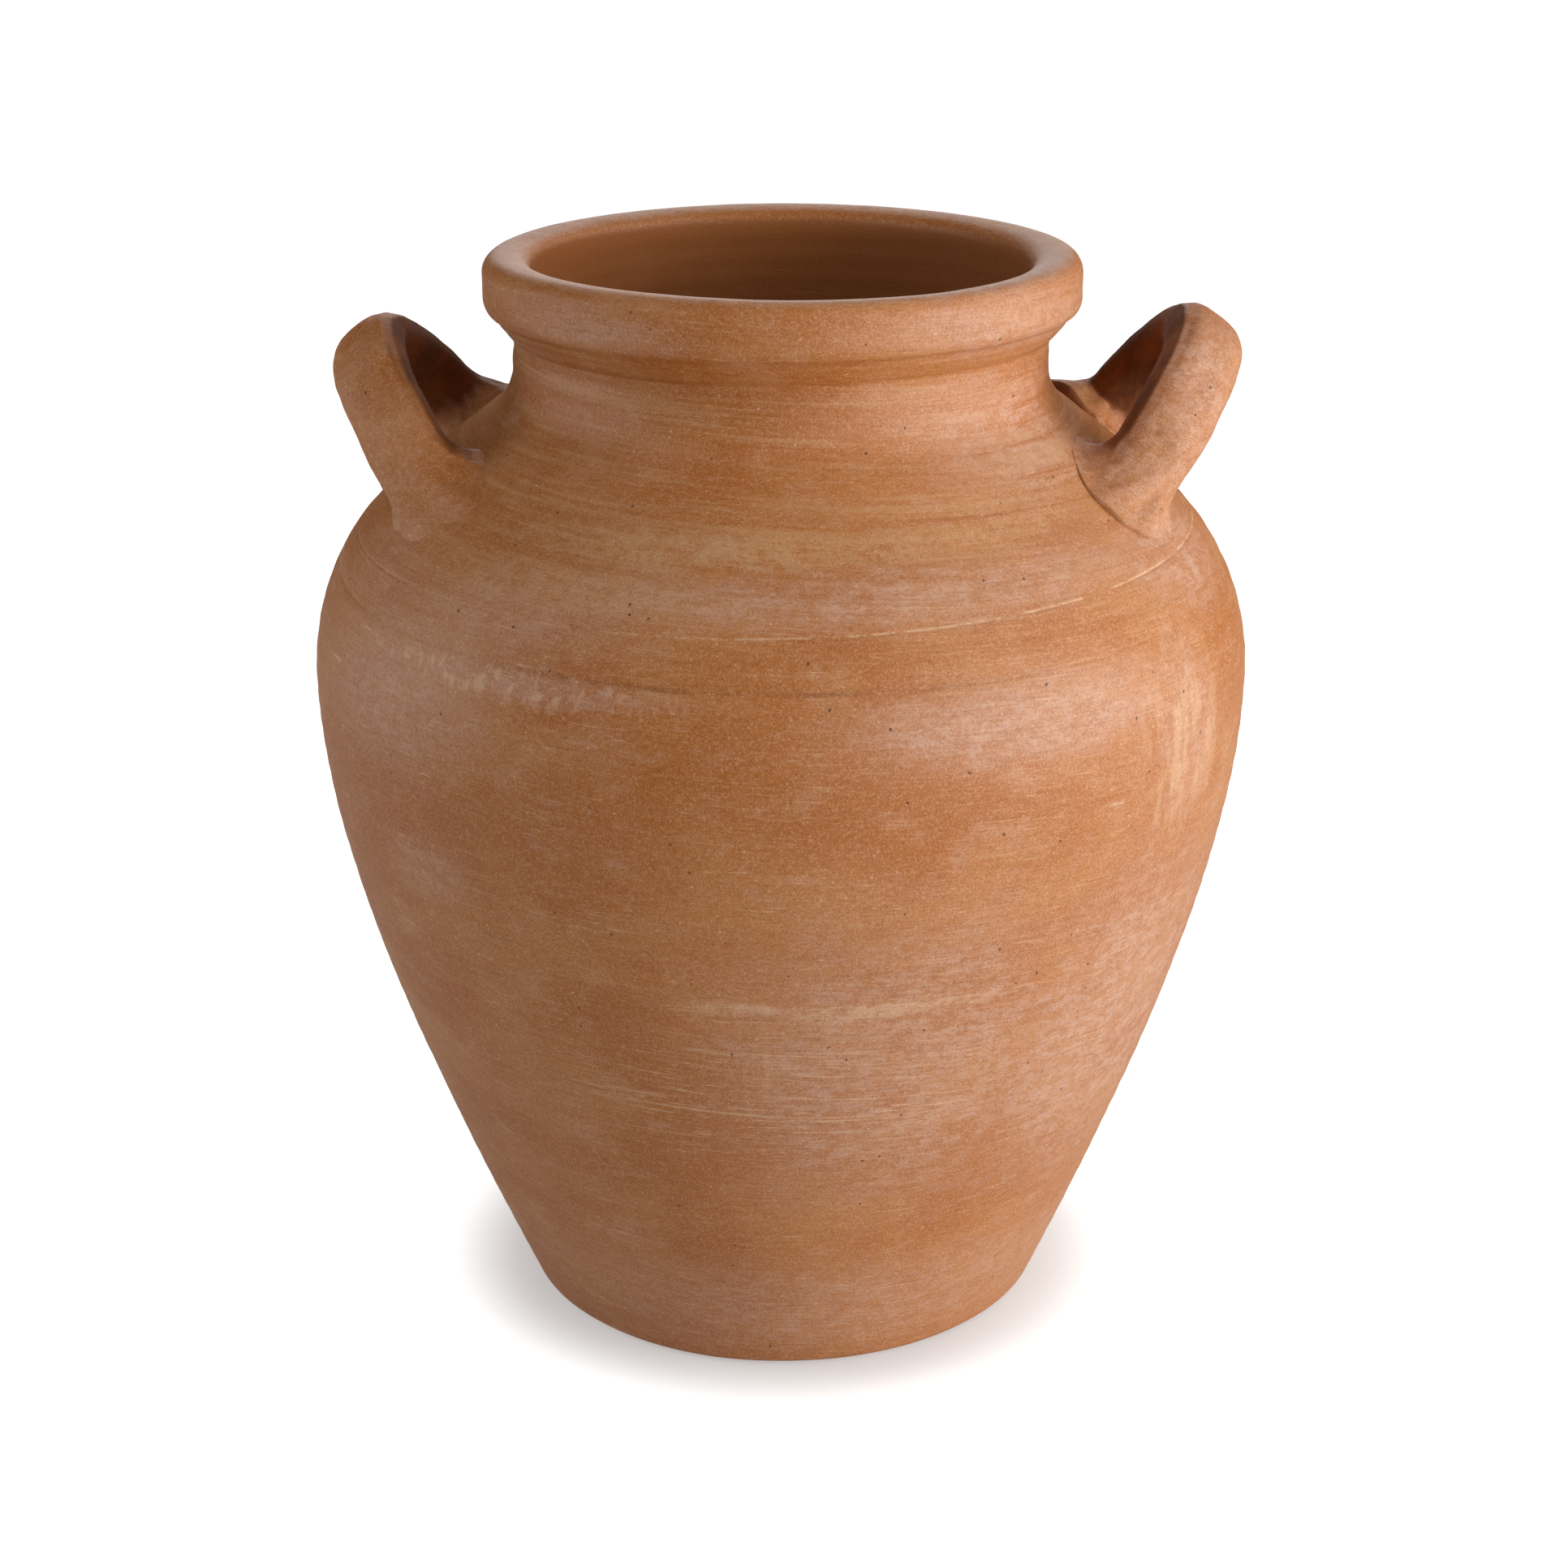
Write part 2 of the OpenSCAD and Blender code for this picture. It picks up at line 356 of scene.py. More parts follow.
def make_mesh(name, vertices, faces, normals=None):
    """A smooth mesh object from vertices in mm."""
    mesh = bpy.data.meshes.new(name)
    mesh.from_pydata((vertices * MM).tolist(), [], faces)
    mesh.validate()
    mesh.shade_smooth()
    if normals is not None:
        mesh.normals_split_custom_set_from_vertices(normals.tolist())
    piece = bpy.data.objects.new(name, mesh)
    bpy.context.scene.collection.objects.link(piece)
    return piece


def grid_faces(rows, columns, closed):
    """Quads of a grid that closes on itself along its columns, and along its rows too if closed."""
    faces = []
    for i in range(rows if closed else rows - 1):
        here, above = i * columns, (i + 1) % rows * columns
        faces += [
            (here + j, here + (j + 1) % columns, above + (j + 1) % columns, above + j)
            for j in range(columns)
        ]
    return faces


def capped_faces(rows, columns):
    """Faces of a grid whose first and last row each close on a point, the two that follow all the others."""
    low = rows * columns
    last = low - columns
    faces = grid_faces(rows, columns, False)
    faces += [(low, (j + 1) % columns, j) for j in range(columns)]
    faces += [(low + 1, last + j, last + (j + 1) % columns) for j in range(columns)]
    return faces


def turned_piece(name, *skins):
    """One luted section of the jar: a closed loop of skins, or a disc if they begin and end on the axis."""
    runs = [rows_between(*skin) for skin in skins]
    grid = np.concatenate([surface_grid(s) for s in runs])
    normal = np.concatenate([surface_normals(s) for s in runs])
    if np.hypot(grid[0, 0, 0], grid[0, 0, 1]) > TINY:
        faces = grid_faces(len(grid), AZIMUTHS, True)
        return make_mesh(name, grid.reshape(-1, 3), faces, normal.reshape(-1, 3))
    vertices = np.vstack([grid[1:-1].reshape(-1, 3), grid[0, 0], grid[-1, 0]])
    ends = [[0, 0, -1], [0, 0, 1]]
    faces = capped_faces(len(grid) - 2, AZIMUTHS)
    return make_mesh(name, vertices, faces, np.vstack([normal[1:-1].reshape(-1, 3), ends]))


# Greatest steps between rows: over discs, the heel, the wall, the lines, the neck and rim, and inside
DISC_STEP, HEEL_STEP, FOOT_STEP, WALL_STEP = 7, 0.8, 1.4, 2.3
SEAM_STEP, SEAM_TOP_STEP, LINE_STEP, SHOULDER_STEP, CONE_STEP = 0.5, 0.4, 0.3, 1.5, 2.0
NECK_STEP, RIM_STEP, LIP_STEP = 1.0, 0.8, 1.2
INSIDE_STEP, INSIDE_SHOULDER_STEP, INSIDE_NECK_STEP = 4.5, 3.0, 2.0
# Where the finer rows begin and end
HEEL_IN = 8.0
FOOT_TOP = 26
BELOW_SEAM, ABOVE_SEAM = 8, 3
BELOW_LINE, ABOVE_LINE = 3, 4

heel_start = FOOT_R - HEEL_IN
floor_out, floor_in = out_run(FLOOR_T), in_run(FLOOR_T + 1e-3)
seam_out, line_out, cone_out = out_run(SEAM_Z), out_run(LINE_Z), out_run(cone_top_z)
turned = {
    "base_floor": turned_piece(
        "jar_floor",
        [(0, heel_start, DISC_STEP), (heel_start, floor_out, HEEL_STEP)],
        [(floor_in, run[-1], DISC_STEP)],
    ),
    "lower_wall": turned_piece(
        "jar_lower_wall",
        [
            (floor_out, out_run(FOOT_TOP), FOOT_STEP),
            (out_run(FOOT_TOP), seam_out - BELOW_SEAM, WALL_STEP),
            (seam_out - BELOW_SEAM, seam_out, SEAM_STEP),
        ],
        [(in_run(SEAM_Z), floor_in, INSIDE_STEP)],
    ),
    "shoulder_wall": turned_piece(
        "jar_shoulder",
        [
            (seam_out, seam_out + ABOVE_SEAM, SEAM_TOP_STEP),
            (seam_out + ABOVE_SEAM, line_out - BELOW_LINE, SHOULDER_STEP),
            (line_out - BELOW_LINE, line_out + ABOVE_LINE, LINE_STEP),
            (line_out + ABOVE_LINE, cone_out, CONE_STEP),
        ],
        [(in_run(cone_top_z), in_run(SEAM_Z), INSIDE_SHOULDER_STEP)],
    ),
    "neck_collar": turned_piece(
        "jar_neck",
        [(cone_out, out_run(rim_z), NECK_STEP)],
        [(in_run(rim_z), in_run(cone_top_z), INSIDE_NECK_STEP)],
    ),
    "rim_ring": turned_piece(
        "jar_rim",
        [(out_run(rim_z), crest, RIM_STEP), (crest, in_run(rim_z), LIP_STEP)],
    ),
}

# ---- Handles ----
SIDES = 96
ARCH_RINGS = 120
FLARE_RINGS = 26
PATH_STEPS = 1200
# The strap is free of its roots from this height over them
FREE_HEIGHT = 17.0
# A strap is a little squarer than an ellipse, whose power is 1
SECTION_POWER = 0.86
# Under each root the loft closes on a point this deep in the wall
ROOT_DEPTH = 5.0
# The noise of a root's edge is read on a circle of this radius
EDGE_NOISE_R = 22
# An edge with less lip than SINKS_UNDER sinks into the wall, and one with STEEP_FROM or more has a steep side
EDGE_SINK, SINKS_UNDER, STEEP_FROM = 0.6, 0.4, 1.3
# The first ring of all is hidden in the wall: this far in from the edge, and this deep
HIDDEN_IN, HIDDEN_DEPTH = 0.3, 1.8
# The loft stays plain over its first rings, and its lumps come in over as many
PLAIN_SHARE, LUMPY_OVER = 0.15, 9.0
# Eight numbers go round a root, every 45 degrees from away from the arch's gap: out, up-out, up, up-in, in,
# down-in, down, down-out. Reach is how far the clay spreads that way, and lip how high its edge stands there.
HANDLES = {
    "left": dict(
        mirror=True,
        root_x=122.8,
        root_z=324.1,
        rise=53.6,
        height=48.7,
        half_span=54.0,
        centre_y=0.0,
        lean=0.08,
        half_width=14.4,
        half_thick=9.1,
        power=1.18,
        seed=40,
        front=dict(reach=(36, 30, 25, 27, 31, 29, 25, 33), lip=(0.6, 0.1, 0, 0, 0, 0, 0.2, 0.8)),
        back=dict(reach=(30, 31, 29, 25, 20, 22, 24, 28), lip=(0.4, 0.5, 0.4, 0, 0, 0, 0.3, 0.3)),
        # Dents of thumbs: share of the way along, angle round the strap, radius, depth
        dents=[(0.30, 25, 9, 1.1), (0.62, -20, 12, 0.8)],
        # Torn clay inside the arch: shares from and to, depth
        torn=(0.5, 0.8, 1.1),
    ),
    "right": dict(
        mirror=False,
        root_x=120.8,
        root_z=322.0,
        rise=54.4,
        height=54.3,
        half_span=48.3,
        centre_y=0.4,
        lean=0.04,
        half_width=14.6,
        half_thick=10.7,
        power=1.07,
        seed=70,
        front=dict(reach=(27, 23, 24, 26, 23, 26, 28, 31), lip=(0.8, 0.3, 0, 0, 0, 0, 0, 1.3)),
        back=dict(reach=(30, 27, 25, 22, 18, 22, 24, 28), lip=(0.8, 2.2, 3.0, 2.2, 0.6, 0, 0.3, 0.5)),
        dents=[(0.04, -10, 8, 1.2), (0.8, 0, 12, 0.9)],
        torn=(0.55, 0.9, 0.5),
    ),
}
side_angles = np.arange(SIDES) * 2 * math.pi / SIDES


def around_root(values, angles):
    """Values given every 45 degrees, carried smoothly through all the angles."""
    waves = np.fft.rfft(values) / len(values)
    total = np.full(len(angles), waves[0].real)
    for k, wave in enumerate(waves[1:], start=1):
        share = 1 if 2 * k == len(values) else 2
        total += share * (wave.real * np.cos(k * angles) - wave.imag * np.sin(k * angles))
    return total


def signed_power(x, power):
    """A power of the size of x, with the sign of x."""
    return np.sign(x) * np.abs(x) ** power


def on_skin(azimuth_deg, s, proud):
    """Point on the outside of the jar, standing proud of it by a distance."""
    r, z = at(s)
    slope = outward_slope(s, 0.5)
    a = np.radians(azimuth_deg)
    reach_r = r + proud * slope[..., 1]
    drift = np.interp(z, DRIFT_Z, DRIFT_X)
    return np.stack([reach_r * np.sin(a) + drift, -reach_r * np.cos(a), z - proud * slope[..., 0]], axis=-1)


def root_height(radius):
    """Height of the shoulder's skin at a radius."""
    side = (run > out_run(BELLY_Z)) & (run < out_run(rim_z))
    order = np.argsort(outline[side, 0])
    return float(np.interp(radius, outline[side, 0][order], outline[side, 1][order]))


def root_place(root_x, y):
    """Place of a root's middle on the shoulder."""
    return np.array([root_x, y, root_height(math.hypot(root_x, y))])


def root_azimuth(root):
    """Azimuth of a root in degrees."""
    return math.degrees(math.atan2(root[0], -root[1]))


def flare(ring, downward, spec, root, towards):
    """Rings from the wall up to the first ring of a leg. Towards is the side the root lies, -1 in front."""
    turn_x, turn_y = np.cos(side_angles), np.sin(side_angles)
    reach = around_root(spec["reach"], side_angles)
    lip = np.clip(around_root(spec["lip"], side_angles), 0, None)
    # The smeared edge wanders, and rises and falls
    edge_place = np.column_stack(
        [root[0] + EDGE_NOISE_R * turn_x, root[1] + EDGE_NOISE_R * turn_y, np.zeros(SIDES)]
    )
    reach = reach + 1.6 * lumps(edge_place, 11, 91) + 0.9 * lumps(edge_place, 4.5, 92)
    lip = lip * np.clip(0.85 + 0.8 * lumps(edge_place, 8, 93), 0.1, None)
    root_radius = math.hypot(root[0], root[1])

    def skin(distance, proud):
        """Points on the wall all round the root, a distance away from its middle."""
        sideways = np.degrees(distance * turn_x * towards / root_radius)
        return on_skin(root_azimuth(root) + sideways, out_run(root[2]) + distance * turn_y, proud)

    edge = skin(reach, lip - EDGE_SINK * np.clip(1 - lip / SINKS_UNDER, 0, 1))
    # A smooth edge is pulled in along the wall, and a steep one upwards
    inward = skin(reach * 0.55, lip * 0.4) - skin(reach, 0)
    above = skin(reach - 2.5, lip + 2.5) - edge
    steep = np.clip(lip / STEEP_FROM, 0, 1)[:, None]
    pull_edge = edge + (1 - steep) * inward * 0.75 + steep * above * 1.4
    height = np.linalg.norm(ring - edge, axis=1)[:, None]
    pull_leg = ring + downward * height * 0.42
    shares = np.linspace(1, 0, FLARE_RINGS + 1)[:-1]
    hidden = skin(reach - HIDDEN_IN, np.full(SIDES, -HIDDEN_DEPTH))
    return [hidden] + [cubic(t, ring, pull_leg, pull_edge, edge) for t in shares]


def strap_path(spec):
    """Middles, tangents and outward directions of a strap's free rings, its upward side, and its length."""
    rise = math.radians(spec["rise"])
    plane_out = np.array([math.cos(rise), 0, math.sin(rise)])
    plane_up = np.array([-math.sin(rise), 0, math.cos(rise)])
    t = np.linspace(0, math.pi, PATH_STEPS)
    up = spec["height"] * np.sin(t) ** spec["power"]
    centre = np.array([spec["root_x"], 0, spec["root_z"]]) + np.outer(up, plane_out)
    sideways = spec["half_span"] * signed_power(np.cos(t), spec["power"])
    centre[:, 1] = spec["centre_y"] - sideways + spec["lean"] * up
    free = np.flatnonzero(up > FREE_HEIGHT)
    travelled = np.append(0, np.cumsum(np.linalg.norm(np.diff(centre, axis=0), axis=1)))
    stops = np.linspace(travelled[free[0]], travelled[free[-1]], ARCH_RINGS)

    def along(distance):
        return np.column_stack([np.interp(distance, travelled, centre[:, k]) for k in range(3)])

    middle = along(stops)
    tangent = along(stops + 0.5) - along(stops - 0.5)
    tangent /= np.linalg.norm(tangent, axis=1)[:, None]
    outward = np.cross(tangent, plane_up)
    outward *= np.sign(outward @ plane_out + 1e-9 + outward[:, 1] * np.sign(middle[:, 1]))[:, None]
    return middle, tangent, outward, plane_up, stops[-1] - stops[0]


def strap_grooves(count, seed):
    """Faint grooves along a pulled strap: an array of (ring, side)."""
    angle, ring = np.meshgrid(side_angles, np.arange(count))
    place = np.stack([40 * np.cos(angle), 40 * np.sin(angle), 0.6 * ring], axis=-1)
    return lumps(place.reshape(-1, 3), (7, 7, 45), seed).reshape(count, SIDES)


def hand_pulled(grid, spec, length):
    """How far the pulled clay stands out from its plain loft: an array of (ring, side)."""
    count = len(grid)
    points = grid.reshape(-1, 3)
    seed = spec["seed"]
    shift = 0.7 * lumps(points, 19, seed) + 0.3 * lumps(points, 8, seed + 1)
    shift += 0.1 * lumps(points, 3.5, seed + 2)
    shift = shift.reshape(count, SIDES) + 0.22 * strap_grooves(count, seed + 3)

    share = ((np.arange(count) - FLARE_RINGS - 1) / (ARCH_RINGS - 1))[:, None]
    turn = (side_angles + math.pi) % (2 * math.pi) - math.pi
    for dent_share, dent_angle, dent_r, depth in spec["dents"]:
        sideways = (turn - math.radians(dent_angle)) * spec["half_width"]
        shift -= depth * bump_at(np.hypot((share - dent_share) * length, sideways), 0, dent_r)

    torn_from, torn_to, torn_depth = spec["torn"]
    torn_place = bump_at(share, (torn_from + torn_to) / 2, torn_to - torn_from)
    torn_place = bump_at(np.abs(turn), math.pi, 1.1) * torn_place
    gouges = np.abs(lumps(points, (7, 9, 7), seed + 5)) + 0.5 * np.abs(lumps(points, 2.6, seed + 6))
    shift += torn_depth * torn_place * (1 - 2.4 * gouges.reshape(count, SIDES))

    # The roots are rougher, but the edge of each stays plain
    from_end = np.minimum(np.arange(count), np.arange(count)[::-1])[:, None]
    smeared = np.clip(1.3 - from_end / FLARE_RINGS, 0, 1)
    rough = 0.55 * lumps(points, 6, seed + 8) + 0.3 * lumps(points, 2.8, seed + 9)
    shift += smeared * rough.reshape(count, SIDES)
    return shift * np.clip(from_end / LUMPY_OVER - PLAIN_SHARE, 0, 1)


def handle_piece(name, spec):
    """One pulled strap with both of its roots, as a single closed loft."""
    middle, tangent, outward, plane_up, length = strap_path(spec)
    across = signed_power(np.cos(side_angles), SECTION_POWER)
    along = signed_power(np.sin(side_angles), SECTION_POWER)
    rings = [
        m + spec["half_thick"] * np.outer(across, o) + spec["half_width"] * np.outer(along, plane_up)
        for m, o in zip(middle, outward)
    ]
    roots = [root_place(spec["root_x"], middle[end, 1]) for end in (0, -1)]
    front = flare(rings[0], -tangent[0], spec["front"], roots[0], -1)
    back = flare(rings[-1], tangent[-1], spec["back"], roots[1], 1)
    grid = np.array(front + rings + back[::-1])

    across_grid = np.roll(grid, -1, axis=1) - np.roll(grid, 1, axis=1)
    normal = np.cross(across_grid, np.gradient(grid, axis=0))
    normal /= np.linalg.norm(normal, axis=-1, keepdims=True) + 1e-12
    grid = grid + normal * hand_pulled(grid, spec, length)[..., None]

    ends = [on_skin(root_azimuth(root), out_run(root[2]), -ROOT_DEPTH) for root in roots]
    vertices = np.vstack([grid.reshape(-1, 3), ends])
    faces = capped_faces(len(grid), SIDES)
    if spec["mirror"]:
        vertices[:, 0] *= -1
        faces = [f[::-1] for f in faces]
    return make_mesh(name, vertices, faces)


handles = {side: handle_piece(f"{side}_strap_handle", spec) for side, spec in HANDLES.items()}


# ---- Clay ----
class Graph:
    """Short ways to add shader nodes to a new material and link them."""

    def __init__(self, name):
        self.material = bpy.data.materials.new(name)
        self.material.use_nodes = True
        self.tree = self.material.node_tree
        self.tree.nodes.clear()

    def add(self, kind, inputs=(), **settings):
        """A new node, with its settings and with its inputs set or linked."""
        node = self.tree.nodes.new(kind)
        for key, value in settings.items():
            setattr(node, key, value)
        for key, value in dict(inputs).items():
            self.put(node.inputs[key], value)
        return node

    def put(self, socket, value):
        """Links an output to the socket, or sets the socket to a value, or leaves it if there is none."""
        if isinstance(value, bpy.types.NodeSocket):
            self.tree.links.new(value, socket)
        elif value is not None:
            socket.default_value = value

    def math(self, operation, a, b=None):
        node = self.add("ShaderNodeMath", operation=operation)
        self.put(node.inputs[0], a)
        self.put(node.inputs[1], b)
        return node.outputs[0]

    def plus(self, a, b):
        return self.math("ADD", a, b)

    def minus(self, a, b):
        return self.math("SUBTRACT", a, b)

    def most(self, a, b):
        return self.math("MAXIMUM", a, b)

    def times(self, *values):
        return functools.reduce(lambda a, b: self.math("MULTIPLY", a, b), values)

    def vector(self, operation, a, b=None, scale=None):
        node = self.add("ShaderNodeVectorMath", operation=operation)
        self.put(node.inputs[0], a)
        self.put(node.inputs[1], b)
        if scale is not None:
            self.put(node.inputs["Scale"], scale)
        return node.outputs["Value" if operation in ("LENGTH", "DOT_PRODUCT") else "Vector"]

    def from_xyz(self, x, y, z):
        return self.add("ShaderNodeCombineXYZ", {"X": x, "Y": y, "Z": z}).outputs[0]

    def to_xyz(self, vector):
        return self.add("ShaderNodeSeparateXYZ", {"Vector": vector}).outputs

    def ramp(self, value, low, high, out_low=0.0, out_high=1.0):
        """A smooth step of value from low to high."""
        node = self.add(
            "ShaderNodeMapRange",
            {"Value": value, "From Min": low, "From Max": high, "To Min": out_low, "To Max": out_high},
            interpolation_type="SMOOTHSTEP",
        )
        return node.outputs[0]

    def noise(self, place, size, detail=3.0, rough=0.55, distortion=0.0):
        """Noise from 0 to 1 with features of one size in mm, or of a size for each axis."""
        sizes = size if isinstance(size, tuple) else (size, size, size)
        scaled = self.vector("MULTIPLY", place, tuple(1 / v for v in sizes))
        node = self.add(
            "ShaderNodeTexNoise",
            {"Vector": scaled, "Scale": 1.0, "Detail": detail, "Roughness": rough, "Distortion": distortion},
        )
        return node.outputs["Fac"]

    def cells(self, place, size):
        """Distance from the middle of cells of one size in mm, and a random number for each cell."""
        scaled = self.vector("SCALE", place, scale=1 / size)
        node = self.add("ShaderNodeTexVoronoi", {"Vector": scaled, "Scale": 1.0})
        colour = self.add("ShaderNodeSeparateColor", {"Color": node.outputs["Color"]})
        return node.outputs["Distance"], colour.outputs[0]

    def tint(self, factor, low, high):
        """Mix of two colours."""
        node = self.add("ShaderNodeMix", data_type="RGBA")
        for name, value in (("Factor_Float", factor), ("A_Color", low), ("B_Color", high)):
            socket = next(s for s in node.inputs if s.identifier == name)
            self.put(socket, value)
        return next(s for s in node.outputs if s.identifier == "Result_Color")


RAW = (0.392, 0.115, 0.012, 1.0)
FIRED = (0.445, 0.160, 0.035, 1.0)
DEEP = (0.262, 0.072, 0.006, 1.0)
SAND = (0.520, 0.265, 0.110, 1.0)
# Colour of the bloom, and of the painted highlight on the right of the shoulder
BLOOM_AND_HIGHLIGHT = (0.540, 0.300, 0.205, 1.0)
CREAM = (0.660, 0.400, 0.230, 1.0)
# Colour of the pits, and of the darkest painted shade inside the handles' arches
PIT_AND_SHADE = (0.085, 0.028, 0.008, 1.0)

# Marks on the clay: azimuth, height, half width in degrees, half height, strength
# Dusty bloom that hands, brushes and the kiln left, and a painted highlight on the right of the shoulder over
# a little bloom
BLOOM_AND_HIGHLIGHT_MARKS = [
    # Painted highlight over a little real bloom, on the right of the shoulder over the join
    (30, 271, 24, 14, 0.95),
    (-52, 266, 16, 26, 0.75),
    (-36, 281, 24, 5, 0.85),
    (55, 250, 7, 36, 0.8),
    (8, 172, 20, 4, 0.9),
    (50, 140, 26, 72, 1.0),
    (16, 146, 26, 66, 0.85),
    (-46, 206, 8, 12, 0.7),
    (16, 310, 44, 9, 0.85),
    (-36, 300, 16, 9, 0.5),
    (66, 306, 15, 22, 0.85),
    (-64, 304, 12, 14, 0.45),
    (-38, 387, 20, 7, 0.6),
    (52, 387, 34, 13, 0.8),
    (50, 350, 26, 20, 0.8),
    (20, 30, 70, 26, 0.6),
    (118, 215, 30, 40, 0.7),
    (-150, 270, 35, 22, 0.7),
    (165, 120, 30, 35, 0.6),
]
# Bare, rubbed clay
RAW_MARKS = [
    (-6, 262, 16, 18, 0.9),
    (-27, 234, 18, 26, 0.85),
    (14, 238, 12, 12, 0.5),
    (6, 196, 30, 10, 0.4),
    (-5, 356, 70, 10, 0.6),
    (0, 392, 34, 8, 0.7),
    (-48, 352, 14, 8, 0.8),
    (-100, 190, 30, 40, 0.6),
    (140, 330, 30, 20, 0.6),
]
# Sandy slip
SAND_MARKS = [(-9, 323, 28, 6, 0.9), (30, 326, 26, 5, 0.6), (54, 338, 14, 10, 0.7), (-30, 310, 22, 6, 0.5)]


class Clay(Graph):
    """A new terracotta, with the places and noises that its tones, marks and grain share."""

    def __init__(self, name, wall):
        super().__init__(name)
        self.wall = wall
        coordinates = self.add("ShaderNodeTexCoord").outputs["Object"]
        place = self.vector("SCALE", coordinates, scale=1 / MM)
        x, y, z = self.to_xyz(place)
        self.place, self.x, self.y, self.z = place, x, y, z
        self.around = self.times(self.math("ARCTAN2", x, self.times(y, -1.0)), 180 / math.pi)
        # Marks of wiping fall a little to the right
        self.wiped = self.from_xyz(x, y, self.plus(z, self.times(x, 0.05)))
        self.level = self.from_xyz(x, y, 0.0)
        self.normal = self.add("ShaderNodeNewGeometry").outputs["Normal"]

        self.broad = self.noise(place, (70, 70, 50), 3, 0.5)
        self.medium = self.noise(place, (24, 24, 15), 8, 0.66)
        self.cloud = self.noise(self.moved(31.0, 7.0, 55.0), (7, 7, 4), 8, 0.8)
        self.grit = self.noise(self.moved(5.0, 61.0, 12.0), (2.2, 2.2, 1.5), 4, 0.8)
        self.grain = self.noise(place, 0.7, 3, 0.8)
        # Fibres and scratches run round the wall, and every way on a handle
        if wall:
            self.fibre = self.noise(self.wiped, (24, 24, 0.7), 3, 0.6)
            self.scratch = self.noise(self.wiped, (15, 15, 0.5), 2, 0.5)
        else:
            self.fibre = self.noise(place, 2.4, 3, 0.6)
            self.scratch = self.noise(place, 3, 2, 0.5)

    def moved(self, x, y, z):
        """The place moved aside, for a noise of its own."""
        return self.vector("ADD", self.place, (x, y, z))

    def mark(self, azimuth_deg, height, half_azimuth, half_height, strength, ragged=1.4):
        """A ragged oval mark at an azimuth and a height."""
        da = self.math("DIVIDE", self.minus(self.around, azimuth_deg), half_azimuth)
        dz = self.math("DIVIDE", self.minus(self.z, height), half_height)
        away = self.math("SQRT", self.plus(self.times(da, da), self.times(dz, dz)))
        edge = self.times(self.minus(self.medium, 0.5), ragged)
        return self.times(self.ramp(self.plus(away, edge), 1.35, 0.35), strength)

    def marks(self, start, specs):
        """The strongest of the marks and of the start."""
        for spec in specs:
            start = self.most(start, self.mark(*spec))
        return start

    def over_plane(self, plane):
        """Height over a leaning plane."""
        tilt = self.plus(self.times(self.x, plane[1]), self.times(self.y, plane[2]))
        return self.minus(self.minus(self.z, plane[0]), tilt)


def tones(c):
    """Raw and fired clay, with sandy slip on the wall."""
    tone = c.plus(c.broad, c.times(c.minus(c.medium, 0.5), 0.7))
    tone = c.plus(tone, c.times(c.minus(c.fibre, 0.5), 0.22))
    raw = c.ramp(tone, 0.66, 0.36)
    if not c.wall:
        return c.tint(raw, FIRED, RAW)
    colour = c.tint(c.marks(raw, RAW_MARKS), FIRED, RAW)
    sand = c.times(c.marks(0.0, SAND_MARKS), c.ramp(c.cloud, 0.42, 0.55, 0.15, 1.0))
    return c.tint(sand, colour, SAND)


def strap_dust(c, dust_and_highlight):
    """The dust and painted highlight, with the dust of a strap: patchy, and thicker on the right one's front.
    """
    right_front = c.times(c.ramp(c.around, 0, 60), c.ramp(c.y, 10, -30, 0.0, 0.62))
    patchy = c.plus(c.ramp(c.medium, 0.44, 0.60, 0.0, 0.3), right_front)
    return c.most(dust_and_highlight, c.times(patchy, c.ramp(c.z, 306, 340)))


def add_bloom_and_highlight(c, colour):
    """The colour with a dusty bloom and a painted highlight, mottled finely and combed by the brush, and how
    strong they are.
    """
    dust_and_highlight = c.marks(c.ramp(c.medium, 0.50, 0.74, 0.0, 0.5), BLOOM_AND_HIGHLIGHT_MARKS)
    if not c.wall:
        dust_and_highlight = strap_dust(c, dust_and_highlight)
        # The straps are sandy where they were smeared on
        smeared = c.times(c.ramp(c.z, 330, 308), c.ramp(c.cloud, 0.46, 0.56, 0.0, 0.3))
        colour = c.tint(smeared, colour, SAND)
    mottle = c.times(c.ramp(c.cloud, 0.44, 0.57), c.ramp(c.fibre, 0.35, 0.6, 0.5, 1.0))
    # A third of the dust and painted highlight is a thin veil, and the rest is mottled
    dust_and_highlight = c.plus(c.times(dust_and_highlight, 0.32), c.times(dust_and_highlight, mottle, 0.68))
    return c.tint(dust_and_highlight, colour, BLOOM_AND_HIGHLIGHT), dust_and_highlight


def brushed_bands(c, colour):
    """Light and dark bands that a brush left round the upper shoulder and the neck."""
    stripe = c.noise(c.wiped, (90, 90, 2.6), 6, 0.62, 0.1)
    banded = c.times(c.ramp(c.z, 302, 332, 0.25, 1.0), c.ramp(c.z, 376, 368))
    banded = c.times(banded, c.ramp(c.z, 280, 302))
    colour = c.tint(c.times(banded, c.ramp(stripe, 0.51, 0.65, 0.0, 0.5)), colour, SAND)
    return c.tint(c.times(banded, c.ramp(stripe, 0.48, 0.35, 0.0, 0.8)), colour, RAW)


